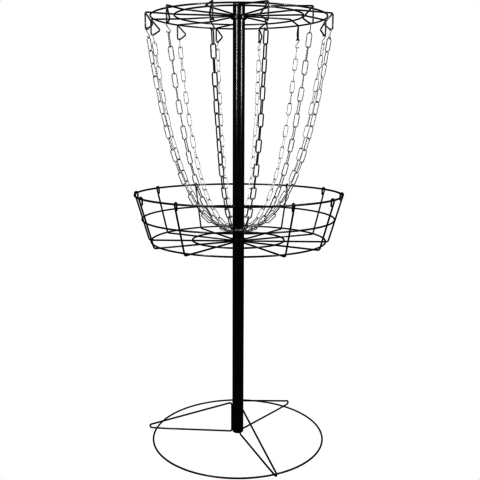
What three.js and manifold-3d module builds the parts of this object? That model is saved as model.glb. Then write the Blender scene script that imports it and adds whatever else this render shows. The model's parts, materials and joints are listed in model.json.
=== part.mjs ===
// A portable disc golf basket: a wire base, a two-piece pole, a wire catching basket,
// and a wire rack that carries twelve chain strands down to a collector ring.
// Millimetres, +Z up. The origin is on the ground, on the axis of the pole.
// Wires have a square section of the same area as the round wire they stand for.
import * as THREE from "three";
import { mergeVertices } from "three/addons/utils/BufferGeometryUtils.js";
import Module from "manifold-3d";

const wasm = await Module();
wasm.setup();

// ---- Driving dimensions ----

const GAP = 0.3; // between pieces that are welded, threaded or pressed together
const UP = new THREE.Vector3(0, 0, 1);

const BASE = {
  wire: 4.6,
  ringRadius: 284,
  legs: 3,
  phase: 52.3,
  legTop: 117.3, // where a leg's upper wire meets the pole
  legBottom: 13.6, // where its lower wire meets the pole
  apexRadius: 336.5, // where the two wires would cross if the tip were not rounded
  footStart: 250, // the lower wire lies level on the ring from here outwards
  tipBend: 6.3,
  poleBend: 7,
  footBend: 60,
};

const POLE = {
  radius: 18,
  wall: 1.5,
  bottom: 18.3,
  joint: 669,
  top: 1394,
  spigotLength: 60,
  swageLength: 6,
  segments: 24,
};

const CAP = {
  plugLength: 14,
  bottomFace: 13.8,
  topFace: 1402.4,
  bottomRound: 4.5,
  topRound: 2.5,
};

const BASKET = {
  spokes: 12,
  phase: -2.1,
  spokeWire: 4.4,
  rimWire: 5,
  rimRadius: 327,
  rimHeight: 822.5,
  spokeHeight: 670, // of the floor run of each spoke
  cornerBend: 8,
  middleRingHeight: 745.8,
  wallLean: 16.6, // outwards from vertical
  hookSlack: 0.9, // between the rim and the hook bent over it
  hookEnd: 803.5, // height of the end of each hook, beside its upright
  bottomRingInset: 9, // inside the corner of the spokes
  floorRingRadius: 147,
  hubRadius: 24,
  hubBottom: 666.6,
  hubHeight: 12,
  screwHeight: 674.6,
  screwAngle: 102.7,
};

const RACK = {
  spokes: 12,
  phase: 16, // of the eyes
  wire: 4,
  spokeHeight: 1363.6, // at the hub
  sweep: 15.3, // the inner run of each spoke trails its eye by this, in degrees
  bendRadius: 189.5, // where the inner run ends and the outer run to the eye begins
  bendHeight: 1368.9,
  bend: 8,
  outerRingRadius: 267.5,
  innerRingRadius: 195.5,
  hubRadius: 24,
  hubBottom: 1355.3,
  hubHeight: 10.5,
  screwHeight: 1360,
  screwAngle: 106,
};

// The triangular eye at the end of each rack spoke: a vertical outer side under the spoke's
// end, a corner that holds the chain below it, and a corner that points back inwards.
const EYE = {
  radius: 284.8, // of its vertical side, from the pole's axis
  height: 1363.5, // of its top corner
  twist: 33, // of its plane about the vertical side
  drop: 52.5,
  innerDrop: 31.8,
  innerReach: 29.5,
  topBend: 5,
  holdBend: 5.5,
  innerBend: 4,
  endShort: 7, // the wire's end stops this far from the top corner
};

const CHAIN = {
  wire: 3,
  linkPitch: 37.2,
  linkCount: 18,
  linkWidth: 13.5, // between the centre lines of its two sides
  hookBend: 5.2,
  hookReach: 28, // inside length of an S-hook
  eyeSlack: 1.5, // between the eye's wire and the end of the S-hook's reach
  ringSlack: 2,
};

const COLLECTOR = { wire: 6, radius: 27, height: 709.4, sides: 6, segments: 24 };

const SCREW = { radius: 2.5, socketRadius: 1.5, socketDepth: 3, sides: 12 };

const RING_SEGMENTS = { large: 48, small: 36 };
const BEND_STEP = 45; // the most that a wire turns between two chords of a bend, in degrees

// ---- Materials ----

const blackCoat = () =>
  new THREE.MeshStandardMaterial({ color: 0x101112, roughness: 0.35, metalness: 0.4 });
const blackPlastic = () =>
  new THREE.MeshStandardMaterial({ color: 0x0c0c0c, roughness: 0.55, metalness: 0 });
const brightZinc = () =>
  new THREE.MeshStandardMaterial({ color: 0xd4d6d8, roughness: 0.25, metalness: 1 });
const blackSteel = () =>
  new THREE.MeshStandardMaterial({ color: 0x1b1b1d, roughness: 0.4, metalness: 0.9 });

// ---- Helpers ----

const radians = THREE.MathUtils.degToRad;
const inPlane = (radius, height) => new THREE.Vector3(radius, 0, height);
const clone = (vector) => vector.clone();

// Half the side of a square with the area of a round wire.
const halfSide = (diameter) => (diameter * Math.sqrt(Math.PI)) / 4;

// How far the corners of a regular polygon with the area of a round wire are from its centre.
const cornerReach = (diameter, sides) => {
  const turn = (2 * Math.PI) / sides;
  return (diameter / 2) * Math.sqrt(turn / Math.sin(turn));
};

// A path that runs through its points in equal steps, whatever their spacing.
class BentPath extends THREE.Curve {
  constructor(points) {
    super();
    this.points = points;
  }
  getPoint(t, target = new THREE.Vector3()) {
    return target.copy(this.points[Math.round(t * (this.points.length - 1))]);
  }
  getPointAt(u, target) {
    return this.getPoint(u, target);
  }
  getTangentAt(u, target = new THREE.Vector3()) {
    const last = this.points.length - 1;
    const here = Math.round(u * last);
    const step = (i) => clone(this.points[i + 1]).sub(this.points[i]).normalize();
    const before = step(Math.max(here - 1, 0));
    const after = step(Math.min(here, last - 1));
    return target.addVectors(before, after).normalize();
  }
}

// The points of a wire through the corners, each corner rounded by its bend radius.
// A corner is { at: Vector3, bend: radius }; the two ends need no bend.
function bentPoints(corners) {
  const points = [clone(corners[0].at)];
  for (let i = 1; i < corners.length - 1; i++) {
    const { at, bend } = corners[i];
    const arriving = clone(at).sub(corners[i - 1].at).normalize();
    const leaving = clone(corners[i + 1].at).sub(at).normalize();
    const turn = arriving.angleTo(leaving);
    const start = clone(at).addScaledVector(arriving, -bend * Math.tan(turn / 2));
    const axis = clone(arriving).cross(leaving).normalize();
    const centre = clone(axis).cross(arriving).multiplyScalar(bend).add(start);
    const chords = Math.ceil(turn / radians(BEND_STEP));
    for (let k = 0; k <= chords; k++) {
      const spoke = clone(start).sub(centre).applyAxisAngle(axis, (turn * k) / chords);
      points.push(spoke.add(centre));
    }
  }
  points.push(clone(corners[corners.length - 1].at));
  return points;
}

// The points of an arc in the x-z plane, angles in degrees from +X towards +Z.
function arcPoints(centre, radius, from, to) {
  const chords = Math.ceil(Math.abs(to - from) / BEND_STEP);
  return Array.from({ length: chords + 1 }, (_, k) => {
    const angle = radians(from + ((to - from) * k) / chords);
    const offset = inPlane(radius * Math.cos(angle), radius * Math.sin(angle));
    return offset.add(centre);
  });
}

function wireGeometry(points, diameter) {
  const h = halfSide(diameter);
  const section = new THREE.Shape();
  section.moveTo(-h, -h);
  section.lineTo(h, -h);
  section.lineTo(h, h);
  section.lineTo(-h, h);
  section.closePath();
  const extrudePath = new BentPath(points);
  return new THREE.ExtrudeGeometry(section, { steps: points.length - 1, extrudePath });
}

function ringGeometry(radius, diameter, segments) {
  const corner = cornerReach(diameter, 4);
  return new THREE.TorusGeometry(radius, corner, 4, segments, 2 * Math.PI, Math.PI / 4);
}

// A solid of revolution about Z from a closed profile of [radius, height] pairs.
function turnedGeometry(profile, segments) {
  const points = [...profile, profile[0]].map(([r, z]) => new THREE.Vector2(r, z));
  return new THREE.LatheGeometry(points, segments).rotateX(Math.PI / 2);
}

// A rod along X from one radius to another, at a height, turned about the pole's axis.
function radialRod(radius, from, to, height, angle, sides) {
  return new THREE.CylinderGeometry(radius, radius, to - from, sides)
    .rotateZ(Math.PI / 2)
    .translate((from + to) / 2, 0, height)
    .rotateZ(radians(angle));
}

function toSolid(geometry) {
  const bare = geometry.clone().deleteAttribute("normal").deleteAttribute("uv");
  const merged = mergeVertices(bare, 1e-4);
  return new wasm.Manifold(
    new wasm.Mesh({
      numProp: 3,
      vertProperties: merged.attributes.position.array,
      triVerts: new Uint32Array(merged.index.array),
    }),
  );
}

function toGeometry(solid) {
  const { vertProperties, triVerts } = solid.getMesh();
  return new THREE.BufferGeometry()
    .setAttribute("position", new THREE.BufferAttribute(vertProperties, 3))
    .setIndex(new THREE.BufferAttribute(triVerts, 1));
}

function named(name, geometry, material, angle = 0) {
  const mesh = new THREE.Mesh(geometry, material);
  mesh.name = name;
  mesh.rotation.z = radians(angle);
  return mesh;
}

// The same piece at equal angles round the pole, numbered from 1 or 01.
function around(name, count, phase, geometry, material) {
  const group = new THREE.Group();
  for (let i = 0; i < count; i++) {
    const number = String(i + 1).padStart(String(count).length, "0");
    const angle = phase + (360 * i) / count;
    group.add(named(`${name}_${number}`, geometry, material(), angle));
  }
  return group;
}

// ---- Base: a ring on the ground, and three wire legs from it to the foot of the pole ----

function baseLeg() {
  const inner = POLE.radius + GAP + BASE.wire / 2;
  const onRing = halfSide(BASE.wire) + BASE.wire;
  const seam = (BASE.legTop + BASE.legBottom) / 2; // the wire's two ends meet here
  const corners = [
    { at: inPlane(inner, seam - GAP) },
    { at: inPlane(inner, BASE.legBottom), bend: BASE.poleBend },
    { at: inPlane(BASE.footStart, onRing), bend: BASE.footBend },
    { at: inPlane(BASE.apexRadius, onRing), bend: BASE.tipBend },
    { at: inPlane(inner, BASE.legTop), bend: BASE.poleBend },
    { at: inPlane(inner, seam + GAP) },
  ];
  return wireGeometry(bentPoints(corners), BASE.wire);
}

function base() {
  const ring = ringGeometry(BASE.ringRadius, BASE.wire, RING_SEGMENTS.large);
  const ringMesh = named("base_ring", ring, blackCoat(), BASE.phase);
  ringMesh.position.z = halfSide(BASE.wire); // on the ground
  return around("base_leg", BASE.legs, BASE.phase, baseLeg(), blackCoat).add(ringMesh);
}

// ---- Pole: a lower tube with a swaged spigot, an upper tube over it, and two end caps ----

const bore = POLE.radius - POLE.wall;

function lowerPole() {
  const spigot = bore - GAP;
  const spigotTop = POLE.joint + POLE.spigotLength;
  const profile = [
    [bore, POLE.bottom],
    [POLE.radius, POLE.bottom],
    [POLE.radius, POLE.joint],
    [spigot, POLE.joint],
    [spigot, spigotTop],
    [spigot - POLE.wall, spigotTop],
    [spigot - POLE.wall, POLE.joint],
    [bore, POLE.joint - POLE.swageLength],
  ];
  return turnedGeometry(profile, POLE.segments);
}

function upperPole() {
  const start = POLE.joint + GAP;
  const profile = [
    [bore, start],
    [POLE.radius, start],
    [POLE.radius, POLE.top],
    [bore, POLE.top],
  ];
  return turnedGeometry(profile, POLE.segments);
}

// Half the section of a push-in cap, from its plug to its rounded face.
// direction is +1 for the cap on top and -1 for the cap underneath.
function poleCap(poleEnd, face, round, direction) {
  const edge = poleEnd + direction * GAP;
  const plug = bore - GAP;
  const profile = [
    [0, poleEnd - direction * CAP.plugLength],
    [plug, poleEnd - direction * CAP.plugLength],
    [plug, edge],
    [POLE.radius, edge],
  ];
  for (let k = 0; k <= 3; k++) {
    const turn = radians(30 * k);
    profile.push([
      POLE.radius - round * (1 - Math.cos(turn)),
      face - direction * round * (1 - Math.sin(turn)),
    ]);
  }
  profile.push([0, face]);
  return turnedGeometry(direction > 0 ? profile : profile.reverse(), POLE.segments);
}

function pole() {
  return new THREE.Group().add(
    named("lower_pole", lowerPole(), blackCoat()),
    named("upper_pole", upperPole(), blackCoat()),
    named("pole_foot_cap", poleCap(POLE.bottom, CAP.bottomFace, CAP.bottomRound, -1), blackPlastic()),
    named("pole_top_cap", poleCap(POLE.top, CAP.topFace, CAP.topRound, 1), blackPlastic()),
  );
}

// ---- Hubs: collars that carry the spokes, each held on the pole by a set screw ----

function hub(radius, bottom, height, screwHeight, screwAngle) {
  const inner = POLE.radius + GAP;
  const profile = [
    [inner, bottom],
    [radius, bottom],
    [radius, bottom + height],
    [inner, bottom + height],
  ];
  const hole = radialRod(
    SCREW.radius + GAP, inner - 5, radius + 5, screwHeight, screwAngle, SCREW.sides,
  );
  const collar = toSolid(turnedGeometry(profile, POLE.segments));
  return toGeometry(collar.subtract(toSolid(hole)));
}

function setScrew(hubRadius, height, angle) {
  const tip = POLE.radius + 2 * GAP;
  const socketEnd = hubRadius - SCREW.socketDepth;
  const body = radialRod(SCREW.radius, tip, hubRadius, height, angle, SCREW.sides);
  const socket = radialRod(SCREW.socketRadius, socketEnd, hubRadius + 5, height, angle, 6);
  return toGeometry(toSolid(body).subtract(toSolid(socket)));
}

// ---- Basket: spokes that run out under the floor, up the wall and over the rim ----

const hookBend = (BASKET.rimWire + BASKET.spokeWire) / 2 + BASKET.hookSlack;
const besideSpoke = BASKET.spokeWire + GAP; // between the centre lines of two touching wires
const lean = radians(BASKET.wallLean);

// How far out the centre line of an upright is at a height.
const wallRadius = (height) =>
  BASKET.rimRadius + hookBend / Math.cos(lean) + (height - BASKET.rimHeight) * Math.tan(lean);

function basketSpoke() {
  const { spokeHeight, rimRadius, rimHeight } = BASKET;
  const hook = arcPoints(inPlane(rimRadius, rimHeight), hookBend, -BASKET.wallLean, 180);
  const corners = [
    { at: inPlane(BASKET.hubRadius + GAP, spokeHeight) },
    { at: inPlane(wallRadius(spokeHeight), spokeHeight), bend: BASKET.cornerBend },
    { at: hook[0] },
  ];
  const hookEnd = inPlane(rimRadius - hookBend, BASKET.hookEnd);
  return wireGeometry([...bentPoints(corners), ...hook.slice(1), hookEnd], BASKET.spokeWire);
}

function basketRing(name, radius, wire, height, segments) {
  const mesh = named(name, ringGeometry(radius, wire, segments), blackCoat(), BASKET.phase);
  mesh.position.z = height;
  return mesh;
}

function basket() {
  const { spokeWire, rimWire, middleRingHeight } = BASKET;
  const { large, small } = RING_SEGMENTS;
  const onFloor = BASKET.spokeHeight + besideSpoke;
  const middleRadius = wallRadius(middleRingHeight) - besideSpoke / Math.cos(lean);
  const bottomRadius = wallRadius(BASKET.spokeHeight) - BASKET.bottomRingInset;
  const collar = hub(
    BASKET.hubRadius, BASKET.hubBottom, BASKET.hubHeight, BASKET.screwHeight, BASKET.screwAngle,
  );
  const screw = setScrew(BASKET.hubRadius, BASKET.screwHeight, BASKET.screwAngle);
  return new THREE.Group().add(
    around("basket_spoke", BASKET.spokes, BASKET.phase, basketSpoke(), blackCoat),
    basketRing("basket_rim", BASKET.rimRadius, rimWire, BASKET.rimHeight, large),
    basketRing("basket_middle_ring", middleRadius, spokeWire, middleRingHeight, large),
    basketRing("basket_bottom_ring", bottomRadius, spokeWire, onFloor, small),
    basketRing("basket_floor_ring", BASKET.floorRingRadius, spokeWire, onFloor, small),
    named("basket_hub", collar, blackCoat()),
    named("basket_hub_screw", screw, blackSteel()),
  );
}

// ---- Rack: swept spokes that end in triangular eyes, tied by two rings below them ----

const eyeInward = inPlane(-1, 0).applyAxisAngle(UP, radians(EYE.twist));

// A point in the eye's plane, by its distance inwards and down from the top corner.
const eyePoint = (inward, down) =>
  inPlane(EYE.radius, EYE.height - down).addScaledVector(eyeInward, inward);

// A point on the inner run, by its distance from the pole's axis and its height.
const innerRunPoint = (radius, height) =>
  inPlane(radius, height).applyAxisAngle(UP, -radians(RACK.sweep));

function rackSpoke() {
  const back = Math.hypot(EYE.innerReach, EYE.innerDrop);
  const share = EYE.endShort / back;
  const corners = [
    { at: innerRunPoint(RACK.hubRadius + GAP, RACK.spokeHeight) },
    { at: innerRunPoint(RACK.bendRadius, RACK.bendHeight), bend: RACK.bend },
    { at: eyePoint(0, 0), bend: EYE.topBend },
    { at: eyePoint(0, EYE.drop), bend: EYE.holdBend },
    { at: eyePoint(EYE.innerReach, EYE.innerDrop), bend: EYE.innerBend },
    { at: eyePoint(EYE.innerReach * share, EYE.innerDrop * share) },
  ];
  return wireGeometry(bentPoints(corners), RACK.wire);
}

// The height of the outer run's centre line where it passes over a ring of a radius.
function outerRunHeight(radius) {
  const start = innerRunPoint(RACK.bendRadius, RACK.bendHeight);
  const run = eyePoint(0, 0).sub(start);
  const square = run.x ** 2 + run.y ** 2;
  const along = start.x * run.x + start.y * run.y;
  const beyond = radius ** 2 - RACK.bendRadius ** 2;
  const share = (Math.sqrt(along ** 2 + square * beyond) - along) / square;
  return start.z + share * run.z;
}

function rackRing(name, radius) {
  const geometry = ringGeometry(radius, RACK.wire, RING_SEGMENTS.small);
  const mesh = named(name, geometry, blackCoat(), RACK.phase);
  mesh.position.z = outerRunHeight(radius) - 2 * halfSide(RACK.wire) - GAP;
  return mesh;
}

function rack() {
  const { hubRadius, hubBottom, hubHeight, screwHeight, screwAngle } = RACK;
  const collar = hub(hubRadius, hubBottom, hubHeight, screwHeight, screwAngle);
  return new THREE.Group().add(
    around("rack_spoke", RACK.spokes, RACK.phase, rackSpoke(), blackCoat),
    rackRing("rack_outer_ring", RACK.outerRingRadius),
    rackRing("rack_inner_ring", RACK.innerRingRadius),
    named("rack_hub", collar, blackCoat()),
    named("rack_hub_screw", setScrew(hubRadius, screwHeight, screwAngle), blackSteel()),
  );
}

// ---- Chains: an S-hook and a run of links, hung as a catenary from an eye to the ring ----

// The lowest point of an eye's holding corner, where an S-hook hangs.
function eyeHold() {
  const rise = Math.atan2(EYE.drop - EYE.innerDrop, EYE.innerReach);
  const half = (Math.PI / 2 - rise) / 2;
  const lift = EYE.holdBend / Math.tan(half) - EYE.holdBend;
  return eyePoint(EYE.holdBend, EYE.drop - lift);
}

// The catenary of a given length between two points, as a function of the length from its top.
function catenary(top, bottom, length) {
  const across = Math.hypot(top.x - bottom.x, top.y - bottom.y);
  const drop = top.z - bottom.z;
  const wanted = Math.sqrt(length ** 2 - drop ** 2) / across;
  let [low, high] = [1e-3, 10];
  for (let i = 0; i < 60; i++) {
    const middle = (low + high) / 2;
    if (Math.sinh(middle) / middle < wanted) low = middle;
    else high = middle;
  }
  const a = across / (2 * low);
  const topTurn = Math.atanh(drop / length) + low; // the catenary's parameter at the top
  return (run) => {
    const turn = Math.asinh(Math.sinh(topTurn) - run / a);
    const share = (a * (topTurn - turn)) / across;
    const height = top.z - a * (Math.cosh(topTurn) - Math.cosh(turn));
    const point = new THREE.Vector3().lerpVectors(top, bottom, share);
    return point.setZ(height);
  };
}

// An S-hook in the x-z plane about its middle: two opposed bows and the slant between them.
function hookGeometry() {
  const bow = CHAIN.hookBend;
  const half = CHAIN.hookReach / 2 + CHAIN.wire / 2 - bow; // from its middle to a bow's centre
  const slant = THREE.MathUtils.radToDeg(Math.asin(bow / half));
  const points = [
    ...arcPoints(inPlane(0, half), bow, 200, -slant),
    ...arcPoints(inPlane(0, -half), bow, 180 - slant, 380),
  ];
  return wireGeometry(points, CHAIN.wire);
}

// A link in the x-z plane about its middle: a ring pulled apart along Z. Its wire has three
// sides with one edge inwards, so that two crossing bows bite into each other by a little.
function linkGeometry() {
  const sides = 3;
  const corner = cornerReach(CHAIN.wire, sides);
  const bowRadius = CHAIN.linkWidth / 2 / Math.cos(Math.PI / 6);
  const straight = (CHAIN.linkPitch + CHAIN.wire) / 2 - bowRadius;
  const link = new THREE.TorusGeometry(bowRadius, corner, sides, 6, 2 * Math.PI, Math.PI)
    .rotateZ(Math.PI / 6)
    .rotateX(Math.PI / 2);
  const { position } = link.attributes;
  for (let i = 0; i < position.count; i++) {
    const z = position.getZ(i);
    position.setZ(i, z + Math.sign(z) * straight);
  }
  return link;
}

// Places a piece between two points of the strand: its Z axis runs up from lower to upper,
// and its face is turned about that axis by roll from the plane of the strand.
function placed(geometry, upper, lower, roll) {
  const along = clone(upper).sub(lower).normalize();
  const side = clone(UP).cross(inPlane(1, 0)).cross(along).normalize();
  const other = clone(along).cross(side);
  const matrix = new THREE.Matrix4()
    .makeBasis(side, other, along)
    .multiply(new THREE.Matrix4().makeRotationZ(roll))
    .setPosition(clone(upper).add(lower).multiplyScalar(0.5));
  return geometry.clone().applyMatrix4(matrix);
}

// The strand's end link reaches round the collector ring's wire, a little past its centre line.
function chainStrand() {
  const top = eyeHold();
  top.z += RACK.wire / 2 + CHAIN.eyeSlack;
  const pastRing = COLLECTOR.wire / 2 + CHAIN.ringSlack;
  const length = CHAIN.hookReach + CHAIN.linkCount * CHAIN.linkPitch - pastRing;
  const pointAt = catenary(top, inPlane(COLLECTOR.radius, COLLECTOR.height), length);
  const hookRoll = radians(EYE.twist - 90); // the hook's face stands across the eye's
  const drift = -hookRoll / CHAIN.linkCount; // so that the last link stands across the ring
  let strand = toSolid(placed(hookGeometry(), top, pointAt(CHAIN.hookReach), hookRoll));
  for (let i = 0; i < CHAIN.linkCount; i++) {
    const run = CHAIN.hookReach + i * CHAIN.linkPitch;
    const roll = hookRoll + (i + 1) * (Math.PI / 2 + drift);
    const link = placed(linkGeometry(), pointAt(run), pointAt(run + CHAIN.linkPitch), roll);
    strand = strand.add(toSolid(link));
  }
  return toGeometry(strand);
}

function collectorRing() {
  const { wire, radius, height, sides, segments } = COLLECTOR;
  const ring = new THREE.TorusGeometry(radius, cornerReach(wire, sides), sides, segments);
  const mesh = named("chain_collector_ring", ring, brightZinc(), RACK.phase);
  mesh.position.z = height;
  return mesh;
}

function chains() {
  return new THREE.Group().add(
    around("chain_strand", RACK.spokes, RACK.phase, chainStrand(), brightZinc),
    collectorRing(),
  );
}

export default new THREE.Group().add(base(), pole(), basket(), rack(), chains());
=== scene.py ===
"""Looks of a portable disc golf basket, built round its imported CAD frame. Metres, +Z up.

The CAD's square wires and joined-up chain links are replaced by round wires, separate links
and S-hooks. Ring sizes, spoke heights and angles are measured from the CAD nodes. The named
sizes below are those of the wires, their bends and welds, and the small parts.
"""

import json
import math
import random

import bmesh
import bpy
from mathutils import Matrix, Vector

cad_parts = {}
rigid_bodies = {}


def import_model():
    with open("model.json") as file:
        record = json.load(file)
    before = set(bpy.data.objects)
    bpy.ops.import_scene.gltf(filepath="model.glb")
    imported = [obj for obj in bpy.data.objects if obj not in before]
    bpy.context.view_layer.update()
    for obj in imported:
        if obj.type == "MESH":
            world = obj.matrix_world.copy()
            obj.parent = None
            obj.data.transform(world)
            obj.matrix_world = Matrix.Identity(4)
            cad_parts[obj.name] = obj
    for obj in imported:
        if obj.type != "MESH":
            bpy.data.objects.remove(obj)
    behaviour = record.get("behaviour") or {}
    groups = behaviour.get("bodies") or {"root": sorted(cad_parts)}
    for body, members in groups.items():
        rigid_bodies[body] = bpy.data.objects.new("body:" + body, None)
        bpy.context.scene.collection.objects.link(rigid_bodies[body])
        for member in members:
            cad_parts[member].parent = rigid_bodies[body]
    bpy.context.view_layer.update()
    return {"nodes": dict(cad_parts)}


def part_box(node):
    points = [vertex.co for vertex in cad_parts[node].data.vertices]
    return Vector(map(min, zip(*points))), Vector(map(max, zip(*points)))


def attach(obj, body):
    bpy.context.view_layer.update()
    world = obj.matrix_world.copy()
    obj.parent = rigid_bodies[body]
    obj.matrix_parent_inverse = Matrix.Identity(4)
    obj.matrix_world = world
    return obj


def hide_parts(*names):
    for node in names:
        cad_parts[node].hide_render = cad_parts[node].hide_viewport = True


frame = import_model()

# ---- Sizes that the frame doesn't hold ----

MM = 0.001
UP = Vector((0, 0, 1))

SPOKES = 12
LEGS = 3

SPOKE_WIRE = 4.4 * MM  # of the basket
RACK_WIRE = 4 * MM
BASE_WIRE = 4.6 * MM
CHAIN_WIRE = 3 * MM

END_DEPTH = 0.1 * MM  # corners no deeper than this belong to the end face of a wire
SPOKE_INTO_HUB = 1 * MM  # how far a spoke runs on into the weld at its hub

FLOOR_CORNER_BEND = 8 * MM
FLOOR_RING_INSET = 9 * MM  # of the bottom ring from the corner of the spokes
RIM_HOOK_DROP = 19 * MM  # from the rim's centre line to the end of a hook
RIM_HOOK_GAP = 0.15 * MM  # between the rim and the wire that wraps it
RIM_HOOK_LAP = 0.2 * MM  # overlap of a hook's end with its own wire, where it is welded

LEG_POLE_BEND = 7 * MM
LEG_FOOT_BEND = 60 * MM
LEG_TIP_BEND = 6.3 * MM
LEG_FOOT_START = 250 * MM  # from here out the lower wire lies level on the ring
LEG_BEAD_INSET = 14 * MM  # of the welds at the pole from a leg's upper and lower corners
LEG_BEAD_SINK = 1.6 * MM  # how much nearer the pole those welds are than the wire's centre line
LEG_BEAD_TURN = 0.07  # radians about the pole from the wire to the welds at its sides

RACK_SWEEP = math.radians(15.3)  # the inner run of each rack spoke trails its eye by this
RACK_BEND_REACH = 189.5 * MM  # where the inner run ends and the outer run to the eye begins
RACK_BEND = 8 * MM

EYE_TWIST = math.radians(33)
EYE_DROP = 52.5 * MM
EYE_INNER_DROP = 31.8 * MM
EYE_INNER_REACH = 29.5 * MM
EYE_TOP_BEND = 5 * MM
EYE_HOLD_BEND = 5.5 * MM
EYE_INNER_BEND = 4 * MM
EYE_END = (1.5 * MM, 1.6 * MM)  # inwards and down from the top corner to the end of the wire
EYE_WELD = (2.5 * MM, 1.8 * MM)  # the same to the weld that closes the eye

LINK_COUNT = 18
LINK_PITCH = 37.2 * MM  # inside length of a link
LINK_WIDTH = 13.5 * MM  # between the centre lines of its sides
HOOK_REACH = 28 * MM  # inside length of an S-hook
HOOK_BEND = 5.2 * MM
HOOK_WRAP = math.radians(205)  # round an S-hook's bow, from level with its centre to the open end
HANG_SLACK = 0.8 * MM  # at each end of a strand, so that it can swing
LINK_SLACK = 0.25 * MM
LINK_SEAM = 0.16  # swelling of a link's welded seam, as a share of the wire's radius
LINK_LOOSE = 14  # degrees that a link may be turned either way from its regular quarter turn

POLE_WALL = 1.5 * MM
LIP = 0.5 * MM  # rounding of a tube's edge
PLUG_GAP = 0.3 * MM  # between the plug of an end cap and the tube
PLUG_CHAMFER = 1 * MM
CAP_CHAMFER = 0.3 * MM  # of a cap's shoulder where it meets the tube
HUB_GAP = 0.15 * MM  # between a hub collar and the pole
HUB_LIP = 2 * LIP
HUB_BEAD_RISE = 1.2 * MM  # of one weld above a spoke's centre line, and of the other below it
HUB_BEAD_TURN = 0.06  # radians about the pole from the spoke to the same welds

SCREW_RADIUS = 2.4 * MM
SCREW_SOCKET = 1.3 * MM  # from the axis to the middle of a flat of the hexagon
SCREW_SOCKET_DEPTH = 2.4 * MM
SCREW_POINT = 0.8 * MM  # length of the tapered tip
SCREW_POINT_SHARE = 0.6  # of the radius that is left at the tip
SCREW_CHAMFER = 0.3 * MM

EASE_LENGTH = 0.3  # of a wire's rounded end, as a share of its radius
EASE_SHARE = 0.75  # of the radius that is left at the end face
SHARP_ANGLE = math.radians(40)  # an edge that turns by more than this is shaded sharp
ON_AXIS = 1e-7  # a profile point nearer the axis than this is a single point on it


# ---- Measuring the frame ----


def corners_of(node):
    return [vertex.co for vertex in frame["nodes"][node].data.vertices]


def reach(point):
    """Distance from the pole's axis."""
    return math.hypot(point.x, point.y)


def measure_ring(node):
    """(radius of the centre line, height, radius of the round wire) of a ring of square wire."""
    reaches = [reach(co) for co in corners_of(node)]
    low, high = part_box(node)
    inner, outer = min(reaches), max(reaches)
    return (inner + outer) / 2, (low.z + high.z) / 2, (outer - inner) / math.sqrt(math.pi)


def middle_of(points):
    """The middle of the box round some points."""
    lows = [min(p[axis] for p in points) for axis in range(3)]
    highs = [max(p[axis] for p in points) for axis in range(3)]
    return (Vector(lows) + Vector(highs)) / 2


def inner_end(node):
    """The middle of the end of a spoke that is nearest the pole."""
    corners = corners_of(node)
    nearest = min(reach(co) for co in corners)
    return middle_of([co for co in corners if reach(co) < nearest + END_DEPTH])


def outer_end(node):
    """The middle of the part of a leg that is farthest from the pole."""
    corners = corners_of(node)
    farthest = max(reach(co) for co in corners)
    return middle_of([co for co in corners if reach(co) > farthest - END_DEPTH])


def angle_of(point):
    return math.atan2(point.y, point.x)


def farthest_reach(node):
    return max(reach(co) for co in corners_of(node))


def measure_tube(node):
    """(outer radius, lowest height, highest height) of a turned node."""
    low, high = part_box(node)
    return farthest_reach(node), low.z, high.z


def half_side(wire):
    """Half the side of the square section that stands for a round wire in the frame."""
    return wire * math.sqrt(math.pi) / 4


# ---- Mesh helpers ----


class Shells:
    """Closed surfaces gathered into one piece."""

    def __init__(self):
        self.vertices = []
        self.faces = []

    def add(self, vertices, faces, matrix=None):
        start = len(self.vertices)
        self.vertices += [matrix @ v if matrix else v for v in vertices]
        self.faces += [tuple(start + i for i in face) for face in faces]
        return self


def radial(radius, height, angle=0.0):
    return Vector((radius * math.cos(angle), radius * math.sin(angle), height))


def arc(start, arriving, leaving, bend, step=math.radians(9)):
    """Points of a bend of a given radius, from start, that turns one direction into another."""
    turn = arriving.angle(leaving)
    axis = arriving.cross(leaving).normalized()
    centre = start + axis.cross(arriving) * bend
    chords = max(2, math.ceil(turn / step))
    arm = start - centre
    return [centre + Matrix.Rotation(turn * k / chords, 3, axis) @ arm for k in range(chords + 1)]


def bent(corners):
    """Points of a wire through corners of (point, bend radius); its two ends have no bend."""
    points = [corners[0][0]]
    for (before, _), (corner, bend), (after, _) in zip(corners, corners[1:], corners[2:]):
        arriving = (corner - before).normalized()
        leaving = (after - corner).normalized()
        start = corner - arriving * bend * math.tan(arriving.angle(leaving) / 2)
        points += arc(start, arriving, leaving, bend)
    return points + [corners[-1][0]]


def tangents(points, closed):
    """The direction of the wire at each of its points."""
    count = len(points)
    steps = [(points[(i + 1) % count] - points[i]).normalized() for i in range(count)]
    if not closed:
        steps[-1] = steps[-2]
        return [steps[0]] + [(steps[i - 1] + steps[i]).normalized() for i in range(1, count)]
    return [(steps[i - 1] + steps[i]).normalized() for i in range(count)]


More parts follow.
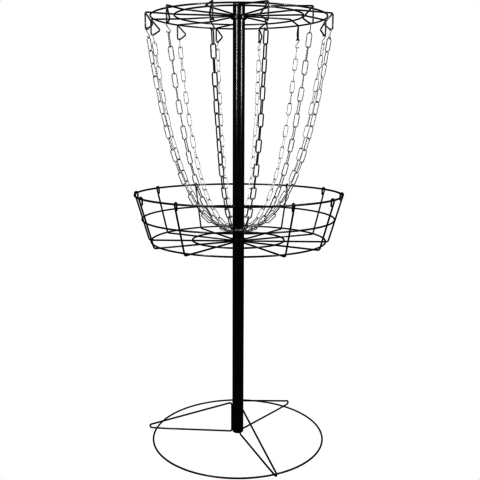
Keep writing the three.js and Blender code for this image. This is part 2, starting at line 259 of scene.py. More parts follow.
def tube(points, radius, closed=False, sides=12, swell=None):
    """A round wire along points, with eased ends unless it is closed.

    swell gives a share of the radius to add at a position from 0 to 1 along the points.
    """
    if not closed:
        points, ease = eased_ends(points, radius)
    count = len(points)
    along = tangents(points, closed)
    normal = along[0].orthogonal().normalized()
    rings = []
    for i, (point, tangent) in enumerate(zip(points, along)):
        normal = (normal - tangent * normal.dot(tangent)).normalized()
        size = radius * (1 + (swell(i / count) if swell else 0))
        if not closed:
            size *= ease[i]
        across = tangent.cross(normal)
        turns = [2 * math.pi * k / sides for k in range(sides)]
        rings.append([point + (normal * math.cos(t) + across * math.sin(t)) * size for t in turns])
    if closed:
        rings = untwisted(rings, along)
    vertices = [v for ring in rings for v in ring]
    faces = []
    for i in range(count if closed else count - 1):
        here, there = i * sides, ((i + 1) % count) * sides
        for k in range(sides):
            m = (k + 1) % sides
            faces.append((here + k, here + m, there + m, there + k))
    if not closed:
        faces.append(tuple(reversed(range(sides))))
        faces.append(tuple(range((count - 1) * sides, count * sides)))
    return vertices, faces


def eased_ends(points, radius):
    """The points with one more close to each end, and the share of the radius at each."""
    step = radius * EASE_LENGTH
    first = points[0] + (points[1] - points[0]).normalized() * step
    last = points[-1] + (points[-2] - points[-1]).normalized() * step
    eased = [points[0], first] + points[1:-1] + [last, points[-1]]
    return eased, [EASE_SHARE] + [1.0] * (len(eased) - 2) + [EASE_SHARE]


def untwisted(rings, along):
    """Rings of a closed wire, each turned a little so that the last meets the first."""
    count, sides = len(rings), len(rings[0])
    centre = sum(rings[-1], Vector()) / sides
    carried = rings[-1][0] - centre
    carried = (carried - along[0] * carried.dot(along[0])).normalized()
    start_centre = sum(rings[0], Vector()) / sides
    start = (rings[0][0] - start_centre).normalized()
    twist = math.atan2(carried.cross(start).dot(along[0]), carried.dot(start))
    matched = []
    for i, ring in enumerate(rings):
        middle = sum(ring, Vector()) / sides
        turn = Matrix.Rotation(twist * i / count, 3, along[i])
        matched.append([middle + turn @ (v - middle) for v in ring])
    return matched


def ring_path(radius, height, segments):
    return [radial(radius, height, 2 * math.pi * i / segments) for i in range(segments)]


def butt_weld(swelling, place, narrowness):
    """A swell for tube where the two ends of a ring's wire were welded together."""
    return lambda share: swelling * math.exp(-(((share - place) * narrowness) ** 2))


def turned(profile, segments=96):
    """A closed profile of (radius, height) pairs turned about the pole's axis."""
    vertices, faces = [], []
    rows = []
    for radius, height in profile:
        if radius < ON_AXIS:
            rows.append([len(vertices)])
            vertices.append(Vector((0, 0, height)))
            continue
        rows.append(list(range(len(vertices), len(vertices) + segments)))
        vertices += ring_path(radius, height, segments)
    count = len(profile)
    for i in range(count):
        here, there = rows[i], rows[(i + 1) % count]
        if len(here) == 1 and len(there) == 1:
            continue
        for k in range(segments):
            m = (k + 1) % segments
            quad = [here[k % len(here)], here[m % len(here)], there[m % len(there)], there[k % len(there)]]
            faces.append(tuple(dict.fromkeys(quad)))
    return vertices, faces


def rounded_edge(radius, height, out, up, size, steps=4):
    """Profile points round a corner; out and up are +1 or -1 for where it points."""
    centre = (radius - out * size, height - up * size)
    points = []
    for k in range(steps + 1):
        turn = math.radians(90 * k / steps)
        points.append((centre[0] + out * size * math.cos(turn), centre[1] + up * size * math.sin(turn)))
    return points


def weld(point, along, across, size, dice):
    """A small bead of weld metal with an uneven surface, coated over with its wires."""
    normal = along.cross(across).normalized()
    across = normal.cross(along).normalized()
    bands, sides = 6, 8
    vertices = [point + normal * size.z]
    for i in range(1, bands):
        polar = math.pi * i / bands
        for k in range(sides):
            turn = 2 * math.pi * k / sides
            lump = dice.uniform(0.9, 1.1)
            offset = along * size.x * math.sin(polar) * math.cos(turn)
            offset += across * size.y * math.sin(polar) * math.sin(turn)
            offset += normal * size.z * math.cos(polar)
            vertices.append(point + offset * lump)
    vertices.append(point - normal * size.z)
    last = len(vertices) - 1
    faces = []
    for k in range(sides):
        m = (k + 1) % sides
        faces.append((0, 1 + k, 1 + m))
        faces.append((last, last - sides + m, last - sides + k))
        for i in range(bands - 2):
            a = 1 + i * sides
            faces.append((a + k, a + sides + k, a + sides + m, a + m))
    return vertices, faces


def piece(name, shells, material, body, node):
    """A piece that stands for a CAD node and moves with a CAD body."""
    mesh = bpy.data.meshes.new(name)
    mesh.from_pydata(shells.vertices, [], shells.faces)
    mesh.validate()
    mesh.shade_smooth()
    mesh.set_sharp_from_angle(angle=SHARP_ANGLE)
    mesh.materials.append(material)
    made = bpy.data.objects.new(name, mesh)
    bpy.context.scene.collection.objects.link(made)
    face_outwards(mesh)
    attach(made, body)
    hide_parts(node)


def face_outwards(mesh):
    work = bmesh.new()
    work.from_mesh(mesh)
    bmesh.ops.recalc_face_normals(work, faces=work.faces)
    work.to_mesh(mesh)
    work.free()


# ---- Materials ----


class Nodes:
    """A material's node tree with short ways to add and join nodes."""

    def __init__(self, name):
        self.material = bpy.data.materials.new(name)
        self.material.use_nodes = True
        self.tree = self.material.node_tree
        self.surface = self.tree.nodes["Principled BSDF"]
        self.place = self.add("ShaderNodeTexCoord").outputs["Object"]

    def add(self, kind, **inputs):
        node = self.tree.nodes.new(kind)
        for key, value in inputs.items():
            node.inputs[key.replace("_", " ")].default_value = value
        return node

    def join(self, output, target):
        self.tree.links.new(output, target)

    def noise(self, scale, detail=2.0):
        node = self.add("ShaderNodeTexNoise", Scale=scale, Detail=detail)
        self.join(self.place, node.inputs["Vector"])
        return node.outputs["Fac"]

    def spread(self, value, low, high, start=0.3, end=0.7):
        """value from start to end, mapped from low to high."""
        node = self.add("ShaderNodeMapRange", From_Min=start, From_Max=end, To_Min=low, To_Max=high)
        self.join(value, node.inputs["Value"])
        return node.outputs["Result"]

    def colours(self, value, *stops):
        """value mapped through (position, (r, g, b)) stops."""
        node = self.add("ShaderNodeValToRGB")
        elements = node.color_ramp.elements
        while len(elements) < len(stops):
            elements.new(0.5)
        for element, (position, colour) in zip(elements, stops):
            element.position = position
            element.color = (*colour, 1)
        self.join(value, node.inputs["Fac"])
        return node.outputs["Color"]

    def bump(self, height, distance, strength=1.0):
        node = self.add("ShaderNodeBump", Strength=strength, Distance=distance)
        self.join(height, node.inputs["Height"])
        return node

    def finish(self, colour, roughness, bump, **values):
        self.join(colour, self.surface.inputs["Base Color"])
        self.join(roughness, self.surface.inputs["Roughness"])
        self.join(bump.outputs["Normal"], self.surface.inputs["Normal"])
        for key, value in values.items():
            self.surface.inputs[key.replace("_", " ")].default_value = value
        return self.material


def powder_coat():
    """Gloss black powder coat, with its fine orange peel and a slightly uneven gloss."""
    nodes = Nodes("powder_coat")
    colour = nodes.colours(nodes.noise(35, 4), (0.35, (0.0025,) * 3), (0.7, (0.005, 0.005, 0.0055)))
    roughness = nodes.spread(nodes.noise(160, 3), 0.24, 0.34)
    peel = nodes.bump(nodes.noise(850, 1), 0.02 * MM, 0.4)
    return nodes.finish(colour, roughness, peel, Specular_IOR_Level=0.3)


def cap_plastic():
    """Moulded black plastic with a fine matt grain."""
    nodes = Nodes("cap_plastic")
    colour = nodes.colours(nodes.noise(60, 3), (0.3, (0.006,) * 3), (0.7, (0.011, 0.011, 0.012)))
    roughness = nodes.spread(nodes.noise(420, 2), 0.46, 0.6)
    grain = nodes.bump(nodes.noise(2400, 2), 0.05 * MM, 0.6)
    return nodes.finish(colour, roughness, grain)


def bright_zinc():
    """Bright zinc plate: a cool grey metal, clouded here and there, with fine draw marks."""
    nodes = Nodes("bright_zinc")
    tints = ((0.25, (0.62, 0.64, 0.67)), (0.55, (0.78, 0.79, 0.8)), (0.8, (0.7, 0.69, 0.66)))
    colour = nodes.colours(nodes.noise(70, 4), *tints)
    roughness = nodes.spread(nodes.noise(190, 5), 0.16, 0.36)
    marks = nodes.bump(nodes.noise(1500, 3), 0.03 * MM, 0.5)
    return nodes.finish(colour, roughness, marks, Metallic=1.0)


def oxide_steel():
    """Black oxide on the set screws, worn towards bare steel in places."""
    nodes = Nodes("oxide_steel")
    colour = nodes.colours(nodes.noise(400, 4), (0.4, (0.02, 0.02, 0.022)), (0.75, (0.09,) * 3))
    roughness = nodes.spread(nodes.noise(900, 3), 0.3, 0.5)
    grain = nodes.bump(nodes.noise(3000, 2), 0.02 * MM, 0.5)
    return nodes.finish(colour, roughness, grain, Metallic=0.85)


COAT = powder_coat()
PLASTIC = cap_plastic()
ZINC = bright_zinc()
OXIDE = oxide_steel()

# Half the size of a weld bead along its seam, across it and out of the surface.
SMALL_BEAD = Vector((3.0, 2.6, 1.5)) * MM
LONG_BEAD = Vector((7.0, 2.6, 1.8)) * MM


# ---- Base ----


def leg_crossings(node, inner):
    """Where the straight runs of a leg would cross, worked back from its rounded outline.

    Gives the heights of the foot, the lower and the upper corner at the pole, and the reach
    of the tip. The upper corner and the tip depend on each other, so they take a few rounds.
    """
    half = half_side(BASE_WIRE)
    low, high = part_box(node)
    crest, tip = high.z - half, farthest_reach(node) - half
    foot = low.z + BASE_WIRE / 2
    near_pole = [co.z for co in corners_of(node) if reach(co) < inner + 2 * LEG_POLE_BEND]
    bottom = min(near_pole) + half
    top, apex = crest, tip
    for _ in range(8):
        slope = math.atan2(top - foot, apex - inner)
        run_in = LEG_POLE_BEND * math.tan((math.pi / 2 + slope) / 2)
        top = crest + run_in * math.sin(slope) - LEG_POLE_BEND * (1 - math.cos(slope))
        apex = tip + LEG_TIP_BEND * (1 / math.tan(slope / 2) - 1)
    return foot, bottom, top, apex


def base_leg(number):
    """A closed loop of wire from the pole's foot over the base ring and back; gives its angle."""
    node = f"base_leg_{number}"
    pole_radius, _, _ = measure_tube("lower_pole")
    direction = angle_of(outer_end(node))
    radius = BASE_WIRE / 2
    inner = pole_radius + radius
    foot, bottom, top, apex = leg_crossings(node, inner)
    seam = (top + bottom) / 2
    runs = [
        (inner, seam, 0),
        (inner, bottom, LEG_POLE_BEND),
        (LEG_FOOT_START, foot, LEG_FOOT_BEND),
        (apex, foot, LEG_TIP_BEND),
        (inner, top, LEG_POLE_BEND),
        (inner, seam, 0),
    ]
    points = bent([(radial(r, z, direction), bend) for r, z, bend in runs])[:-1]
    dice = random.Random(number)
    shells = Shells().add(*tube(points, radius, closed=True))
    for height in (top - LEG_BEAD_INSET, bottom + LEG_BEAD_INSET):
        for side in (-1, 1):
            edge = radial(inner - LEG_BEAD_SINK, height, direction + side * LEG_BEAD_TURN)
            shells.add(*weld(edge, UP, radial(1, 0, direction), LONG_BEAD, dice))
    piece(f"base_leg_wire_{number}", shells, COAT, "stand", node)
    return direction


def ring_piece(name, node, weld_angles, beads_up, seed, segments=144, on_ground=False):
    """A welded wire ring, with a bead wherever a spoke or a leg crosses it."""
    radius, height, wire = measure_ring(node)
    if on_ground:
        height = wire
    dice = random.Random(seed)
    path = ring_path(radius, height, segments)
    swell = butt_weld(swelling=0.1, place=0.02, narrowness=145)
    shells = Shells().add(*tube(path, wire, closed=True, swell=swell))
    for angle in weld_angles:
        at = radial(radius, height + beads_up * wire, angle)
        outwards, along = radial(1, 0, angle), radial(1, 0, angle + math.pi / 2)
        shells.add(*weld(at, outwards, along, SMALL_BEAD, dice))
    piece(name, shells, COAT, "stand", node)


def base():
    directions = [base_leg(i + 1) for i in range(LEGS)]
    ring_piece("base_ring_wire", "base_ring", directions, 1, seed=11, on_ground=True)


# ---- Pole ----


def tube_piece(name, node, low_end, high_end):
    """A plain length of the pole's tube; what is hidden inside the joint is left out."""
    radius, _, _ = measure_tube(node)
    inner = radius - POLE_WALL
    profile = rounded_edge(radius, low_end, 1, -1, LIP)[::-1]
    profile += rounded_edge(radius, high_end, 1, 1, LIP)
    profile += [(inner, high_end), (inner, low_end)]
    shells = Shells().add(*turned(profile))
    piece(name, shells, COAT, "stand", node)


def cap_piece(name, node, face_up, edge_round, crown):
    """A push-in end cap: a plug inside the tube under a rounded, slightly crowned face.

    face_up is +1 for the cap on the top of the pole and -1 for the one at its foot.
    """
    radius, low, high = measure_tube(node)
    face, plug_end = (high, low) if face_up > 0 else (low, high)
    _, bottom, _ = measure_tube("lower_pole")
    _, _, top = measure_tube("upper_pole")
    rim = top if face_up > 0 else bottom
    plug = radius - POLE_WALL - PLUG_GAP
    profile = [(0, plug_end), (plug - PLUG_CHAMFER, plug_end)]
    profile += [(plug, plug_end + face_up * PLUG_CHAMFER), (plug, rim)]
    profile += [(radius - CAP_CHAMFER, rim), (radius, rim + face_up * CAP_CHAMFER)]
    shoulder = face - face_up * crown
    profile += rounded_edge(radius, shoulder, 1, face_up, edge_round, steps=8)
    flat = radius - edge_round
    crown_steps = 6
    for k in range(1, crown_steps + 1):
        share = k / crown_steps
        profile.append((flat * (1 - share), shoulder + face_up * crown * (1 - (1 - share) ** 2)))
    shells = Shells().add(*turned(profile))
    piece(name, shells, PLASTIC, "stand", node)


def pole():
    _, bottom, _ = measure_tube("lower_pole")
    _, joint, top = measure_tube("upper_pole")
    tube_piece("lower_pole_tube", "lower_pole", bottom, joint)
    tube_piece("upper_pole_tube", "upper_pole", joint, top)
    cap_piece("foot_cap_moulding", "pole_foot_cap", -1, 4 * MM, 0.4 * MM)
    cap_piece("top_cap_moulding", "pole_top_cap", 1, 2.2 * MM, 0.6 * MM)


# ---- Hubs ----


def hub_piece(name, node, spoke_nodes, seed):
    """A collar round the pole, with two weld beads at the end of each of its spokes."""
    radius, low, high = measure_tube(node)
    pole_radius, _, _ = measure_tube("upper_pole")
    inner = pole_radius + HUB_GAP
    profile = rounded_edge(radius, low, 1, -1, HUB_LIP)[::-1]
    profile += rounded_edge(radius, high, 1, 1, HUB_LIP)
    profile += [(inner, high), (inner, low)]
    shells = Shells().add(*turned(profile))
    dice = random.Random(seed)
    for spoke in spoke_nodes:
        end = inner_end(spoke)
        angle = angle_of(end)
        for side in (-1, 1):
            at = radial(radius, end.z + side * HUB_BEAD_RISE, angle + side * HUB_BEAD_TURN)
            shells.add(*weld(at, radial(1, 0, angle + math.pi / 2), UP, SMALL_BEAD, dice))
    piece(name, shells, COAT, "stand", node)


def screw_piece(name, node):
    """A set screw with a hexagonal socket, along the radius on which the CAD screw lies."""
    middle = sum(corners_of(node), Vector()) / len(corners_of(node))
    angle = angle_of(middle)
    reaches = [reach(co) for co in corners_of(node)]
    tip, face = min(reaches), max(reaches)
    rows = [(tip, SCREW_POINT_SHARE * SCREW_RADIUS, False), (tip + SCREW_POINT, SCREW_RADIUS, False)]
    rows += [(face - SCREW_CHAMFER, SCREW_RADIUS, False), (face, SCREW_RADIUS - SCREW_CHAMFER, False)]
    rows += [(face, SCREW_SOCKET, True), (face - SCREW_SOCKET_DEPTH, SCREW_SOCKET, True)]
    turn = Matrix.Translation((0, 0, middle.z)) @ Matrix.Rotation(angle, 4, "Z")
    shells = Shells().add(*screw_mesh(rows), turn)
    piece(name, shells, OXIDE, "stand", node)


def screw_mesh(rows):
    """Rows of (distance along X, radius, is a hexagon) joined from first to last, ends closed."""
    sides = 24
    vertices, faces = [], []
    for along, radius, is_hexagon in rows:
        for k in range(sides):
            turn = 2 * math.pi * k / sides
            size = radius
            if is_hexagon:
                size = radius / math.cos((turn + math.pi / 6) % (math.pi / 3) - math.pi / 6)
            vertices.append(Vector((along, size * math.cos(turn), size * math.sin(turn))))
    for i in range(len(rows) - 1):
        for k in range(sides):
            m = (k + 1) % sides
            faces.append((i * sides + k, i * sides + m, (i + 1) * sides + m, (i + 1) * sides + k))
    faces.append(tuple(range(sides)))
    faces.append(tuple(range((len(rows) - 1) * sides, len(rows) * sides)))
    return vertices, faces


# ---- Basket ----


def basket_spoke(number, corner_radius, rim):
    """A spoke under the floor that turns up the wall and closes over the rim in a teardrop."""
    node = f"basket_spoke_{number:02d}"
    start = inner_end(node)
    wire = SPOKE_WIRE / 2
    rim_radius, rim_height, rim_wire = rim
    wrap = rim_wire + wire + RIM_HOOK_GAP
    corner = radial(corner_radius, start.z)
    to_rim = radial(rim_radius, rim_height) - corner
    lean = math.atan2(to_rim.x, to_rim.z) + math.asin(wrap / to_rim.length)
    steps = 24
    hook = []
    for k in range(steps + 1):
        turn = -lean + (math.pi + lean) * k / steps
        hook.append(radial(rim_radius + wrap * math.cos(turn), rim_height + wrap * math.sin(turn)))
    end_height = rim_height - RIM_HOOK_DROP
    upright = corner_radius + (end_height - start.z) * math.tan(lean)
    hook_end = radial(upright - (2 * wire - RIM_HOOK_LAP) / math.cos(lean), end_height)
    corners = [
        (radial(reach(start) - SPOKE_INTO_HUB, start.z), 0),
        (corner, FLOOR_CORNER_BEND),
        (hook[0], 0),
    ]
    turn = Matrix.Rotation(angle_of(start), 4, "Z")
    shells = Shells().add(*tube(bent(corners) + hook[1:] + [hook_end], wire), turn)
    dice = random.Random(100 + number)
    closing = hook_end + Vector((wire, 0, 1 * MM))
    shells.add(*weld(closing, UP, radial(1, 0), SMALL_BEAD * 0.8, dice), turn)
    piece(f"basket_wire_{number:02d}", shells, COAT, "stand", node)


def basket():
    bottom = measure_ring("basket_bottom_ring")
    rim = measure_ring("basket_rim")
    nodes = [f"basket_spoke_{i + 1:02d}" for i in range(SPOKES)]
    angles = [angle_of(inner_end(node)) for node in nodes]
    for i in range(SPOKES):
        basket_spoke(i + 1, bottom[0] + FLOOR_RING_INSET, rim)
    ring_piece("basket_rim_wire", "basket_rim", [], 1, seed=21)
    ring_piece("basket_middle_wire", "basket_middle_ring", angles, 0, seed=22)
    ring_piece("basket_bottom_wire", "basket_bottom_ring", angles, -1, seed=23)
    ring_piece("basket_floor_wire", "basket_floor_ring", angles, -1, seed=24, segments=96)
    hub_piece("basket_hub_collar", "basket_hub", nodes, seed=25)
    screw_piece("basket_hub_set_screw", "basket_hub_screw")


# ---- Rack ----

EYE_INWARD = Vector((-math.cos(EYE_TWIST), -math.sin(EYE_TWIST), 0))


def eye_place(top, inward, down):
    """A point in an eye's plane, by its distance inwards and down from the top corner."""
    return top + EYE_INWARD * inward - UP * down


def eye_top(node):
    """The top corner of an eye, before the rack spoke is turned to its own angle."""
    farthest = farthest_reach(node)
    corner_reach = farthest - EYE_TOP_BEND - RACK_WIRE / 2
    crest = max(co.z for co in corners_of(node) if reach(co) > corner_reach)
    return radial(farthest - RACK_WIRE / 2, crest - half_side(RACK_WIRE))


def eye_turn(node):
    """The angle of an eye about the pole."""
    return angle_of(inner_end(node)) + RACK_SWEEP


def spoke_bend(node):
    """Where the two runs of a rack spoke meet, which is its highest point."""
    _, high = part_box(node)
    return radial(RACK_BEND_REACH, high.z - half_side(RACK_WIRE), -RACK_SWEEP)


def crossing_angle(node, radius):
    """The angle at which the outer run of a rack spoke passes over a ring of a radius."""
    start = spoke_bend(node)
    run = eye_top(node) - start
    square = run.x**2 + run.y**2
    along = start.x * run.x + start.y * run.y
    beyond = radius**2 - RACK_BEND_REACH**2
    share = (math.sqrt(along**2 + square * beyond) - along) / square
    return angle_of(start + run * share) + eye_turn(node)


def rack_spoke(number):
    """A spoke in two runs that ends in an eye: down, slanting up inwards, and back to its top."""
    node = f"rack_spoke_{number:02d}"
    start = inner_end(node)
    turn = Matrix.Rotation(eye_turn(node), 4, "Z")
    top = eye_top(node)
    corners = [
        (radial(reach(start) - SPOKE_INTO_HUB, start.z, -RACK_SWEEP), 0),
        (spoke_bend(node), RACK_BEND),
        (top, EYE_TOP_BEND),
        (eye_place(top, 0, EYE_DROP), EYE_HOLD_BEND),
        (eye_place(top, EYE_INNER_REACH, EYE_INNER_DROP), EYE_INNER_BEND),
        (eye_place(top, *EYE_END), 0),
    ]
    shells = Shells().add(*tube(bent(corners), RACK_WIRE / 2), turn)
    dice = random.Random(200 + number)
    shells.add(*weld(eye_place(top, *EYE_WELD), EYE_INWARD, UP, SMALL_BEAD, dice), turn)
    piece(f"rack_wire_{number:02d}", shells, COAT, "stand", node)


def rack_ring(name, node, nodes, seed, segments):
    """A ring under the spokes, welded to each of them where it crosses."""
    radius, _, _ = measure_ring(node)
    angles = [crossing_angle(spoke, radius) for spoke in nodes]
    ring_piece(name, node, angles, 1, seed, segments)


def rack():
    nodes = [f"rack_spoke_{i + 1:02d}" for i in range(SPOKES)]
    for i in range(SPOKES):
        rack_spoke(i + 1)
    rack_ring("rack_outer_wire", "rack_outer_ring", nodes, 31, 120)
    rack_ring("rack_inner_wire", "rack_inner_ring", nodes, 32, 96)
    hub_piece("rack_hub_collar", "rack_hub", nodes, seed=33)
    screw_piece("rack_hub_set_screw", "rack_hub_screw")


# ---- Chains ----


def eye_hold(top):
    """Centre of the wire at the lowest point of an eye, where its S-hook hangs."""
    rise = math.atan2(EYE_DROP - EYE_INNER_DROP, EYE_INNER_REACH)
    half = (math.pi / 2 - rise) / 2
    lift = EYE_HOLD_BEND / math.tan(half) - EYE_HOLD_BEND
    return eye_place(top, EYE_HOLD_BEND, EYE_DROP - lift)


def catenary(top, bottom, length):
    """A function from the length run down from top to the point there, for a hanging chain.

    With x for half the span divided by the curve's scale, sinh(x) / x has to be the wanted
    value, and halving finds x.
    """
    across = math.hypot(top.x - bottom.x, top.y - bottom.y)
    drop = top.z - bottom.z
    wanted = math.sqrt(length**2 - drop**2) / across
    low, high = 1e-3, 10.0
    for _ in range(60):
        middle = (low + high) / 2
        low, high = (middle, high) if math.sinh(middle) / middle < wanted else (low, middle)
    scale = across / (2 * low)
    top_turn = math.atanh(drop / length) + low

    def point_at(run):
        turn = math.asinh(math.sinh(top_turn) - run / scale)
        place = top.lerp(bottom, scale * (top_turn - turn) / across)
        place.z = top.z - scale * (math.cosh(top_turn) - math.cosh(turn))
        return place

    return point_at


def link_mesh():
    """A link in the x-z plane: two long sides, two round bows and a welded seam in one side."""
    bow = LINK_WIDTH / 2
    half = (LINK_PITCH + CHAIN_WIRE + LINK_SLACK) / 2 - bow
    steps = 10
    points = []
    for end in (1, -1):
        for k in range(steps + 1):
            turn = math.pi * k / steps
            points.append(Vector((end * bow * math.cos(turn), 0, end * (half + bow * math.sin(turn)))))
        side = -end * bow
        for share in (0.2, 0.4, 0.45, 0.5, 0.55, 0.6, 0.8):
            points.append(Vector((side, 0, end * half * (1 - 2 * share))))
    seam = steps + 1 + 3  # the point in the middle of the first side

    def swell(share):
        return LINK_SEAM if round(share * len(points)) == seam else 0.0

    return tube(points, CHAIN_WIRE / 2, closed=True, sides=10, swell=swell)


def hook_mesh():
    """An S-hook in the x-z plane: two opposed bows and the slant between them."""
    half = HOOK_REACH / 2 + CHAIN_WIRE / 2 - HOOK_BEND
    slant = math.asin(HOOK_BEND / half)
    steps = 18
    upper = []
    for k in range(steps + 1):
        turn = HOOK_WRAP - (HOOK_WRAP + slant) * k / steps
        upper.append(Vector((HOOK_BEND * math.cos(turn), 0, half + HOOK_BEND * math.sin(turn))))
    lower = [Vector((-p.x, 0, -p.z)) for p in reversed(upper)]
    return tube(upper + lower, CHAIN_WIRE / 2, sides=10)


def placement(upper, lower, roll):
    """A matrix that puts a piece between two points of a strand, rolled about their line."""
    along = (upper - lower).normalized()
    side = Vector((0, 1, 0)).cross(along).normalized()
    other = along.cross(side)
    basis = Matrix((side, other, along)).transposed().to_4x4()
    return Matrix.Translation((upper + lower) / 2) @ basis @ Matrix.Rotation(roll, 4, "Z")


def strand(number, collector, link, hook):
    """An S-hook and its run of separate links, hung from an eye to the collector ring.

    The hook is square to its eye. From there the links' quarter turns drift a little, so that
    the last link lies in the strand's own plane, across the ring's wire.
    """
    name = f"{number:02d}"
    spoke = f"rack_spoke_{name}"
    ring_radius, ring_height, ring_wire = collector
    top = eye_hold(eye_top(spoke)) + UP * (RACK_WIRE / 2 + HANG_SLACK)
    length = HOOK_REACH + LINK_COUNT * LINK_PITCH - ring_wire - HANG_SLACK
    point_at = catenary(top, radial(ring_radius, ring_height), length)
    turn = Matrix.Rotation(eye_turn(spoke), 4, "Z")
    dice = random.Random(300 + number)
    hook_roll = EYE_TWIST - math.pi / 2
    drift = -hook_roll / LINK_COUNT
    shells = Shells().add(*hook, turn @ placement(top, point_at(HOOK_REACH), hook_roll))
    for i in range(LINK_COUNT):
        run = HOOK_REACH + i * LINK_PITCH
        is_end = i in (0, LINK_COUNT - 1)
        loose = 0 if is_end else math.radians(dice.uniform(-LINK_LOOSE, LINK_LOOSE))
        roll = hook_roll + (i + 1) * (math.pi / 2 + drift) + loose
        upper, lower = point_at(run), point_at(run + LINK_PITCH)
        shells.add(*link, turn @ placement(upper, lower, roll))
    piece(f"chain_links_{name}", shells, ZINC, f"chain_{name}", f"chain_strand_{name}")


def measure_collector():
    """(radius, height, wire radius) of the collector ring, a hexagonal wire of the same area there."""
    node = "chain_collector_ring"
    reaches = [reach(co) for co in corners_of(node)]
    low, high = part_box(node)
    nearest, farthest = min(reaches), max(reaches)
    corner_share = math.sqrt((math.pi / 3) / math.sin(math.pi / 3))
    wire = (farthest - nearest) / 2 / corner_share
    return (nearest + farthest) / 2, (low.z + high.z) / 2, wire


def chains():
    collector = measure_collector()
    link, hook = link_mesh(), hook_mesh()
    for i in range(SPOKES):
        strand(i + 1, collector, link, hook)
    radius, height, wire = collector
    path = ring_path(radius, height, 72)
    swell = butt_weld(swelling=0.12, place=0.5, narrowness=40)
    shells = Shells().add(*tube(path, wire, closed=True, sides=16, swell=swell))
    piece("collector_wire", shells, ZINC, "collector_ring", "chain_collector_ring")


# ---- Studio ----

NEAR_STRANDS = -130 * MM  # the two strands nearest the viewer have their middles in front of this

CAMERA_PLACE = Vector((5.4, -2130.9, 1056.9)) * MM
CAMERA_LENS = 50.43  # on a sensor 36 wide
CAMERA_DIP = math.radians(10.21)  # below level
CAMERA_ROLL = math.radians(0.18)
FLOOR_HALF = 12.0


def is_zinc(made):
    return ZINC in list(made.data.materials)


def is_far_zinc(made):
    """True for the zinc pieces except the two strands nearest the viewer."""
    depths = [(made.matrix_world @ Vector(corner)).y for corner in made.bound_box]
    return is_zinc(made) and (min(depths) + max(depths)) / 2 > NEAR_STRANDS


def receivers(name, wanted):
    """A collection of the pieces that a light reaches; it passes all the others by."""
    group = bpy.data.collections.new(name)
    for made in list(bpy.data.objects):
        if made.type == "MESH" and wanted(made):
            group.objects.link(made)
    return group


def softbox(name, azimuth, group, distance, bottom, size, power):
    """An upright area light facing the pole; azimuth is from the viewer's side, to the right."""
    turn = math.radians(azimuth)
    width, height = size
    data = bpy.data.lights.new(name, "AREA")
    data.shape = "RECTANGLE"
    data.size, data.size_y = width, height
    data.energy = power
    place = Vector((math.sin(turn), -math.cos(turn), 0)) * distance
    light = bpy.data.objects.new(name, data)
    light.location = place + UP * (bottom + height / 2)
    light.rotation_euler = (-place).to_track_quat("-Z", "Y").to_euler()
    light.visible_camera = False
    light.light_linking.receiver_collection = group
    bpy.context.scene.collection.objects.link(light)


# Sockets of a Mix node: inputs of its first and second value, and the output of its result.
MIX_SOCKETS = {"FLOAT": (2, 3, 0), "RGBA": (6, 7, 2)}


def seen_as(tree, ray, value, other, kind):
    """value, but other to one kind of ray."""
    choose = tree.nodes.new("ShaderNodeMix")
    choose.data_type = kind
    first, second, result = MIX_SOCKETS[kind]
    tree.links.new(ray, choose.inputs[0])
    tree.links.new(value, choose.inputs[first])
    choose.inputs[second].default_value = other
    return choose.outputs[result]


def studio_world():
    """White to the camera, even light to diffuse rays, and a dim studio with a lighter ceiling
    to reflections."""
    world = bpy.data.worlds.new("studio")
    bpy.context.scene.world = world
    world.use_nodes = True
    tree = world.node_tree
    add, join = tree.nodes.new, tree.links.new
    split = add("ShaderNodeSeparateXYZ")
    join(add("ShaderNodeTexCoord").outputs["Generated"], split.inputs["Vector"])
    ceiling = add("ShaderNodeMapRange")
    ceiling.interpolation_type = "SMOOTHSTEP"
    ranges = (("From Min", 0.1), ("From Max", 0.9), ("To Min", 0.02), ("To Max", 0.7))
    for key, value in ranges:
        ceiling.inputs[key].default_value = value
    join(split.outputs["Z"], ceiling.inputs["Value"])
    path = add("ShaderNodeLightPath")
    strength = ceiling.outputs["Result"]
    for ray, value in (("Is Diffuse Ray", 1.2), ("Is Camera Ray", 1.0)):
        strength = seen_as(tree, path.outputs[ray], strength, value, "FLOAT")
    background = tree.nodes["Background"]
    background.inputs["Color"].default_value = (1, 1, 1, 1)
    join(strength, background.inputs["Strength"])


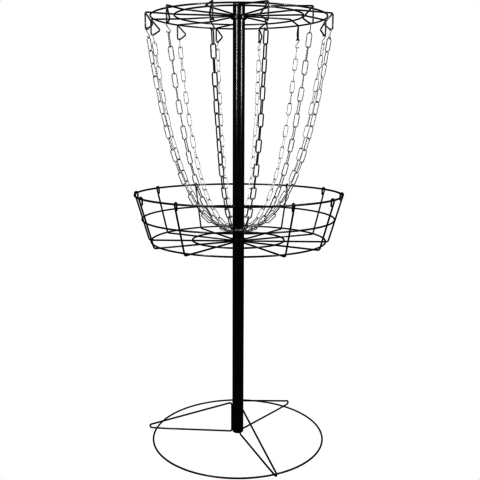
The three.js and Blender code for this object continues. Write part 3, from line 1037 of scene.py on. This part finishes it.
def pale_floor():
    """A wide pale floor that meets the white background without an edge.

    The camera sees it evenly lit, like a light table, and reflections see it dim, so that the
    black wires stay black underneath.
    """
    nodes = Nodes("pale_floor")
    path = nodes.add("ShaderNodeLightPath")
    colour = nodes.colours(nodes.noise(3, 2), (0.3, (0.9,) * 3), (0.7, (0.94,) * 3))
    for ray, grey in (("Is Glossy Ray", 0.05), ("Is Camera Ray", 0.0)):
        colour = seen_as(nodes.tree, path.outputs[ray], colour, (grey, grey, grey, 1), "RGBA")
    roughness = nodes.spread(nodes.noise(20, 2), 0.7, 0.8)
    grain = nodes.bump(nodes.noise(200, 2), 0.02 * MM, 0.2)
    nodes.finish(colour, roughness, grain, Specular_IOR_Level=0.0)
    nodes.surface.inputs["Emission Color"].default_value = (1, 1, 1, 1)
    nodes.join(path.outputs["Is Camera Ray"], nodes.surface.inputs["Emission Strength"])
    corners = ((-1, -1), (1, -1), (1, 1), (-1, 1))
    square = [Vector((x, y, 0)) * FLOOR_HALF for x, y in corners]
    mesh = bpy.data.meshes.new("floor")
    mesh.from_pydata(square, [], [(0, 1, 2, 3)])
    mesh.materials.append(nodes.material)
    floor = bpy.data.objects.new("floor", mesh)
    bpy.context.scene.collection.objects.link(floor)


def camera():
    data = bpy.data.cameras.new("camera")
    data.sensor_width = 36
    data.lens = CAMERA_LENS
    made = bpy.data.objects.new("camera", data)
    made.location = CAMERA_PLACE
    pitch = Matrix.Rotation(math.pi / 2 - CAMERA_DIP, 3, "X")
    made.rotation_euler = (pitch @ Matrix.Rotation(CAMERA_ROLL, 3, "Z")).to_euler()
    bpy.context.scene.collection.objects.link(made)
    bpy.context.scene.camera = made


def lights():
    """Two narrow softboxes give the coated pole its lines.

    Two broad walls behind make the zinc pale, helped by faint cards in front and by brighter
    cards for the collector ring. The two nearest strands get neither, so they stay dark.
    """
    coated = receivers("coated_pieces", lambda made: not is_zinc(made))
    zinc = receivers("far_zinc_pieces", is_far_zinc)
    ring = receivers("collector", lambda made: made.name.startswith("collector_wire"))
    for side, azimuth in (("left", -42), ("right", 56)):
        softbox(f"{side}_strip", azimuth, coated, distance=1.5, bottom=1.2, size=(0.22, 1.4), power=110)
    for side, azimuth in (("left", -125), ("right", 125)):
        softbox(f"{side}_wall", azimuth, zinc, distance=1.0, bottom=0.45, size=(1.0, 1.3), power=11.5)
    card = {"distance": 1.0, "bottom": 0.75, "size": (1.0, 1.45)}
    for number, azimuth in enumerate((-55, 0, 55)):
        softbox(f"zinc_card_{number}", azimuth, zinc, power=1.3, **card)
        softbox(f"ring_card_{number}", azimuth, ring, power=32, **card)


def studio():
    view = bpy.context.scene.view_settings
    view.view_transform = "Standard"
    view.gamma = 0.5  # a hard picture, with the light shown nearly as it is
    pale_floor()
    studio_world()
    lights()
    camera()


base()
pole()
basket()
rack()
chains()
studio()
